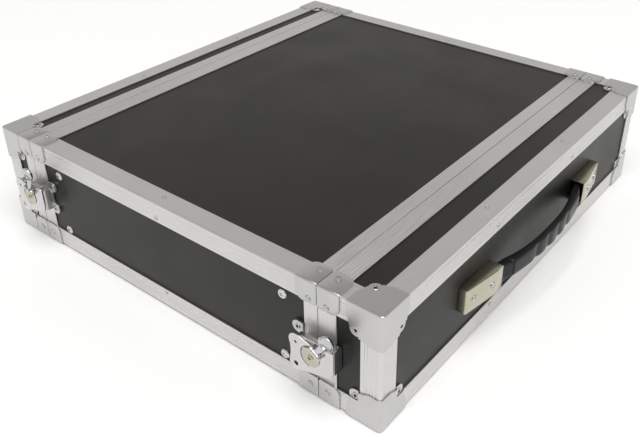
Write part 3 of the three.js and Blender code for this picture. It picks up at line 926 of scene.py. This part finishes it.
def ears(x, root, ys, radius, towards):
    """Two rivet ears joined by a straight edge at root."""
    upper, lower = ys
    t = towards
    points = [(root, upper + radius * 0.9)]
    points += [(x, upper + radius)] + [
        (x + t * radius * math.sin(math.radians(a)), upper + radius * math.cos(math.radians(a)))
        for a in range(15, 170, 15)]
    points += [(x - t * radius * 0.15, upper - radius * 1.12),
               (x - t * radius * 0.4, upper - radius * 1.5),
               (x - t * radius * 0.4, lower + radius * 1.5),
               (x - t * radius * 0.15, lower + radius * 1.12)]
    points += [
        (x + t * radius * math.sin(math.radians(a)), lower + radius * math.cos(math.radians(a)))
        for a in range(15, 170, 15)]
    points += [(x, lower - radius), (root, lower - radius * 0.9)]
    return points


def crescent(clearance):
    """The outline of the open arc beside the disc."""
    start, end = 88, 262
    return (arc(DISC_X, 0, DISC_RADIUS + 1.7 + clearance, start, end, 20)
            + arc(DISC_X, 0, DISC_RADIUS - 0.4, end, start, 20))


def latch_base():
    foot = plate(ears(BASE_EAR_X, -14.6, BASE_EARS, 5.8, -1), *FOOT,
                 holes=[circle(BASE_EAR_X, y, RIVET_HOLE, 16) for y in BASE_EARS])
    tray = block(-19, -1.5, -11, 5, -0.7, 0.35)
    bridge = plate([(-14, -11), (13.5, -11), (13.5, 11), (-14, 11)], 9.6, 10.9,
                   [circle(DISC_X, 0, SLOT_RADIUS)])
    bridge = cut(bridge, prism(crescent(0.6), 9, 12))
    walls = [block(-14, -1.5, y, y + 1.3, -0.5, 10.3) for y in (-10.9, 3.6)]
    return united(foot, tray, bridge, *walls)


def draw_plate_outline():
    top, front = 16.0, 26.0
    points = [(front - 0.8, -6.6), (front, -5.0), (front, top - 1.2), (front - 1.2, top - 0.2),
              (18.5, 14.6)]
    points += curve_through(points[-1], (14.5, 11.6), (9.0, 11.2), 6)
    points += [(3.5, 11.8), (-8.0, top - 0.7)]
    points += curve_through(points[-1], (-10.0, top), (-12.5, top), 4)
    points += arc(-12.5, 8.5, 7.5, 90, 197, 10)[1:]
    points += curve_through(points[-1], (-17.0, -2.0), (-19.6, -12.6), 8)
    points += arc(-12.5, -14.6, 7.4, 164, 299, 12)[1:]
    points += curve_through(points[-1], (4, -16.5), (17, -14), 8)
    points += curve_through(points[-1], (24, -13), (front - 0.8, -6.6), 5)[:-1]
    return points


def latch_draw_plate():
    slot = arc(DISC_X, 0, SLOT_RADIUS, -90, 90, 12) + arc(DISC_X - TRAVEL, 0, SLOT_RADIUS, 90, 270, 12)
    holes = [slot, circle(-12.8, 7.6, 1.4, 16), circle(-13, -15.5, 2.4, 20)]
    flat = plate(draw_plate_outline(), *DRAW, holes=holes, edge=0.3)
    flat = cut(flat, prism(crescent(0), 10, 14))

    def flange(x0, x1, z1):
        return prism([(14.75, 6.6), (15.95, 6.6), (15.95, z1 - 0.5), (15.5, z1), (14.75, z1)],
                     x0, x1, lambda p: (p[2], p[0], p[1]))
    return united(flat, flange(-11.0, 23.0, 10.9), flange(-10.9, -8.4, 12.1), flange(20.4, 22.9, 12.1))


def along_pin(mesh):
    """A shape drawn on Z, laid on the wing's pin."""
    return moved(mesh, Matrix.Translation((PIN_REACH, 0, PIN_Z)) @ Matrix.Rotation(math.pi / 2, 4, "X"))


def latch_disc(degrees):
    disc = lathe([(0, 12.55), (DISC_RADIUS - 0.2, 12.55), (DISC_RADIUS, 12.7), (DISC_RADIUS, 12.95),
                  (DISC_RADIUS - 0.25, 13.15), (8.3, 13.2), (7.9, 13.1), (3.4, 13.1), (0, 13.1)], 48)
    post = lathe([(0, 7.6), (3.6, 7.6), (4.0, 8.0), (4.0, 13), (0, 13)], 28)
    stud = lathe([(0, 12.8), (2.7, 12.8), (2.7, 13.5), (2.3, 14.0), (1.7, 14.1), (1.5, 12.95),
                  (0, 12.9)], 24)
    lugs = []
    for y in (-6.0, 3.7):
        outline = [(6.6, 12.75), (13.0, 12.75), *arc(PIN_REACH, PIN_Z, 1.5, -35, 95, 6),
                   (9.5, 16.0), (6.6, 12.9)]
        lugs.append(prism(outline, y, y + 2.3, lambda p: (p[0], p[2], p[1])))
    return turned(united(disc, post, stud, *lugs), degrees)


def latch_wing(degrees):
    """A half-round stem from the pin to a deeply dished end."""
    half = WING_WIDTH / 2
    end = PIN_REACH + WING_LENGTH - half
    floor_z, rim_z = 14.1, 17.9
    bowl = lathe([(0, floor_z), (4.0, floor_z), (6.2, floor_z + 0.9), (6.9, floor_z + 2.2),
                  (half, rim_z - 0.5), (half - 0.1, rim_z - 0.1), (half - 0.45, rim_z),
                  (half - 0.9, rim_z - 0.4),
                  (6.0, floor_z + 2.3), (5.0, floor_z + 1.3), (3.0, floor_z + 0.8), (0, floor_z + 0.75)], 48)
    width, rise, low_z = 2.9, 1.7, 14.5
    section = [(width * math.cos(math.radians(a)), low_z + rise * math.sin(math.radians(a)))
               for a in range(0, 181, 15)]
    stem = prism(section, PIN_REACH, end - 5.6, lambda p: (p[2], p[0], p[1]))
    knuckle = along_pin(lathe([(0, -3.4), (1.9, -3.4), (2.15, -3.1), (2.15, 3.1), (1.9, 3.4),
                               (0, 3.4)], 24))
    return turned(united(shifted(bowl, x=end), stem, knuckle), degrees)


def latch_pin(degrees):
    """The pin and the two chromed sleeves on the disc's lugs."""
    pin = lathe([(0, -6.6), (1.2, -6.6), (1.9, -6.2), (2.15, -5.8), (2.15, -3.9), (1.9, -3.7), (1.1, -3.7),
                 (1.1, 3.7), (1.9, 3.7), (2.15, 3.9), (2.15, 5.8), (1.9, 6.2), (1.2, 6.6), (0, 6.6)], 24)
    return turned(along_pin(pin), degrees)


def latch_keeper(eared):
    """A foot and a sheet lip that rolls over towards the latch."""
    if eared:
        foot = plate(ears(KEEPER_EAR_X, 20.1, KEEPER_EARS, 5.6, 1), *FOOT,
                     holes=[circle(KEEPER_EAR_X, y, RIVET_HOLE, 16) for y in KEEPER_EARS])
    else:
        foot = block(19.4, 23.4, -12, 12, -2.1, -0.8)
    path = [(23.2, -1.6), (23.15, 1.0), (23.1, 6.8), (22.8, 8.2), (22.0, 9.2), (20.9, 9.6), (19.8, 9.2),
            (19.1, 8.3), (18.9, 7.2)]
    return united(foot, bent_sheet(path, 1.1, -12, 12))


def ear_rivets(x, ys):
    return [shifted(rivet(2.9, 0.6, RIVET_HOLE), x, y, FOOT[1]) for y in ys]


def add_latches():
    base, draw = latch_base(), latch_draw_plate()
    for end, _, seam in ENDS:
        eared = end == "rear"
        keeper, keeper_finish = latch_keeper(eared), ZINC if eared else CHROME
        angle = WING_ANGLES[end]
        disc, wing, pin = latch_disc(angle), latch_wing(angle), latch_pin(angle)
        base_body, keeper_body = ("case", "front_lid") if end == "front" else ("rear_lid", "case")
        for side, sx in SIDES:
            title = f"{end}_{side}_latch"

            def add(part, mesh, material, body, stands_for=None):
                add_piece(f"{title}_{part}", on_latch(mesh, sx, end, seam), material, body,
                          [f"{title}_{stands_for}"] if stands_for else ())

            add("base_pressed", base, ZINC, base_body, "base")
            add("base_rivets", joined(*ear_rivets(BASE_EAR_X, BASE_EARS)), RIVET_ZINC, base_body)
            add("draw_plate_pressed", draw, LATCH_ZINC, f"{title}_draw_plate", "draw_plate")
            add("disc_turned", disc, CHAMPAGNE, f"{title}_disc", "disc")
            add("hinge_pin", pin, CHROME, f"{title}_disc")
            add("wing_dished", wing, CHROME, f"{title}_wing", "wing")
            add("keeper_pressed", keeper, keeper_finish, keeper_body, "keeper")
            if eared:
                add("keeper_rivets", joined(*ear_rivets(KEEPER_EAR_X, KEEPER_EARS)), RIVET_ZINC,
                    keeper_body)


# Studio

FLOOR_HALF = 6.0
FLOOR_Z = -0.0005  # just under the case
OVERHEAD = {"location": (-2.5, -2.5, 8.0), "size": 7.0, "power": 780}
# The walls' height (as a sine) where they start and stop fading, then their light below and above
SKY = (0.50, 0.84, 0.70, 0.24)
SKY_COLOUR = (1.0, 0.985, 0.96, 1)


def add_floor():
    size = FLOOR_HALF
    mesh = bpy.data.meshes.new("floor")
    mesh.from_pydata([(-size, -size, 0), (size, -size, 0), (size, size, 0), (-size, size, 0)], [],
                     [(0, 1, 2, 3)])
    material = new_material("pale_floor", (0.87, 0.87, 0.87), 0, 0.9)
    mesh.materials.append(material)
    floor = bpy.data.objects.new("floor", mesh)
    floor.location.z = FLOOR_Z
    bpy.context.scene.collection.objects.link(floor)


def add_overhead_light():
    """A large square light that faces straight down."""
    data = bpy.data.lights.new("overhead", "AREA")
    data.shape = "SQUARE"
    data.size = OVERHEAD["size"]
    data.energy = OVERHEAD["power"]
    light = bpy.data.objects.new("overhead", data)
    light.location = OVERHEAD["location"]
    bpy.context.scene.collection.objects.link(light)


def add_world():
    """Pale walls all round that fade with height."""
    world = bpy.data.worlds.new("studio")
    world.use_nodes = True
    background = world.node_tree.nodes["Background"]
    background.inputs["Color"].default_value = SKY_COLOUR
    place = node(world, "ShaderNodeTexCoord")
    height = node(world, "ShaderNodeSeparateXYZ")
    fade = map_range(world, SKY, interpolation_type="SMOOTHSTEP")
    link(world, place, "Generated", height, "Vector")
    link(world, height, "Z", fade, "Value")
    link(world, fade, "Result", background, "Strength")
    bpy.context.scene.world = world
    bpy.context.scene.view_settings.view_transform = "Standard"


CAMERA = {
    "from_centre": (-627.6, -501.6, 452.65),
    "right": (0.60655, -0.79503, 0.00483),
    "down": (-0.39589, -0.30729, -0.86536),
    "lens": 45.1,
    "shift": (-0.0552, -0.0871),
}


def add_camera():
    data = bpy.data.cameras.new("camera")
    data.sensor_width = 36
    data.lens = CAMERA["lens"]
    data.shift_x, data.shift_y = CAMERA["shift"]
    camera = bpy.data.objects.new("camera", data)
    right = Vector(CAMERA["right"]).normalized()
    up = -Vector(CAMERA["down"])
    back = right.cross(up).normalized()
    up = back.cross(right)
    location = (CENTRE + Vector(CAMERA["from_centre"])) * MM
    camera.matrix_world = Matrix.Translation(location) @ Matrix(
        (right, up, back)).transposed().to_4x4()
    bpy.context.scene.collection.objects.link(camera)
    bpy.context.scene.camera = camera


# Assembly

dress_panels()
add_body_angles()
add_rim("body_front_rim", "case", FRONT_SEAM, 1, True)
add_rim("body_rear_rim", "case", REAR_SEAM, -1, False)
add_rim("front_lid_rim", "front_lid", FRONT_SEAM, -1, False)
add_rim("rear_lid_rim", "rear_lid", REAR_SEAM, 1, True)
add_braces("body_front", "case", FRONT_SEAM, 1)
add_braces("body_rear", "case", REAR_SEAM, -1)
add_braces("front_lid", "front_lid", FRONT_SEAM, -1)
add_braces("rear_lid", "rear_lid", REAR_SEAM, 1, REAR_LID_BRACE_LENGTH)
add_lid_angles("front_lid", -1, FRONT_SEAM)
add_lid_angles("rear_lid", 1, REAR_SEAM)
add_caps("front_lid", -1, cap_mesh())
add_caps("rear_lid", 1, cap_mesh(CAP.y - REAR_SEAM - SEAM_GAP - REAR_LID_BRACE_LENGTH - GAP))
add_fasteners()
add_handle_caps()
add_grip()
add_latches()
add_floor()
add_world()
add_overhead_light()
add_camera()
